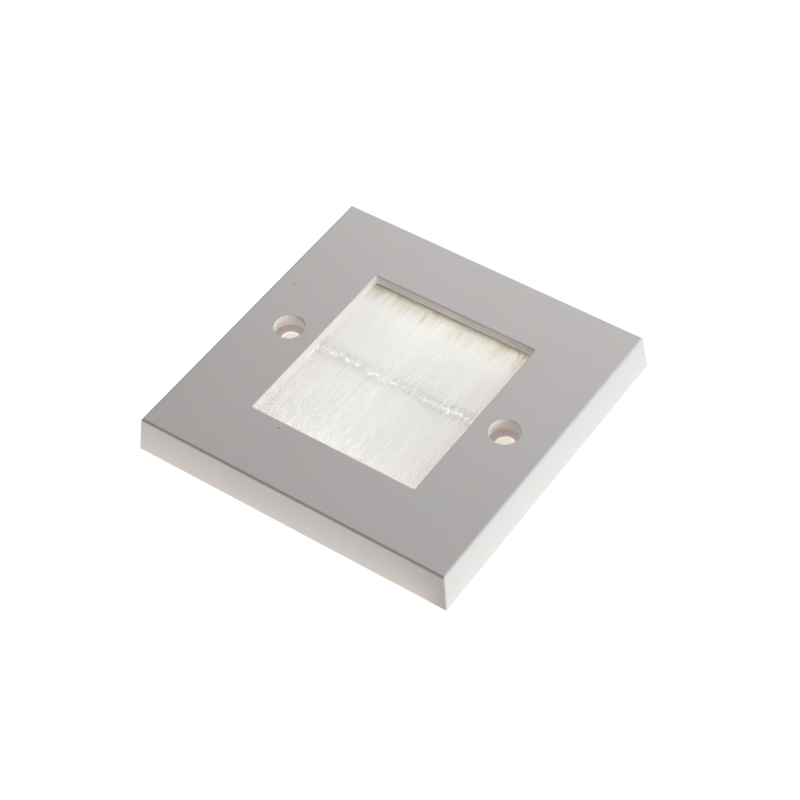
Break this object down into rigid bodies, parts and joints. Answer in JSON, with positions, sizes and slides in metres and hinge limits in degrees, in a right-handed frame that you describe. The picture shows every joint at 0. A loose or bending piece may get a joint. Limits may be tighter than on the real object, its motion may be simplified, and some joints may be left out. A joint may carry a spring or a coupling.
{
  "type": "brush cable plate",
  "caption": "Square moulded wall plate with recessed screw holes; its rectangular cable opening is closed by opposed strip brushes whose bristles meet along the middle.",
  "frame": {"origin": "middle of the back rim's plane, which meets the wall", "axes": "+X along the line of the screw holes, +Y along the bristles and up the wall when fitted, +Z out of the face"},
  "size_m": [0.0852, 0.0852, 0.0098],
  "materials": {
    "white_plastic": "white moulded plastic with a low satin gloss",
    "channel_metal": "folded galvanised strip, dull grey",
    "core_wire": "drawn galvanised wire",
    "bristle_nylon": "fine translucent white nylon filaments"
  },
  "bodies": {
    "root": {"face_plate": "white_plastic", "upper_brush_channel": "channel_metal", "upper_core_wire": "core_wire", "upper_bristles": "bristle_nylon", "lower_brush_channel": "channel_metal", "lower_core_wire": "core_wire", "lower_bristles": "bristle_nylon"}
  },
  "joints": []
}
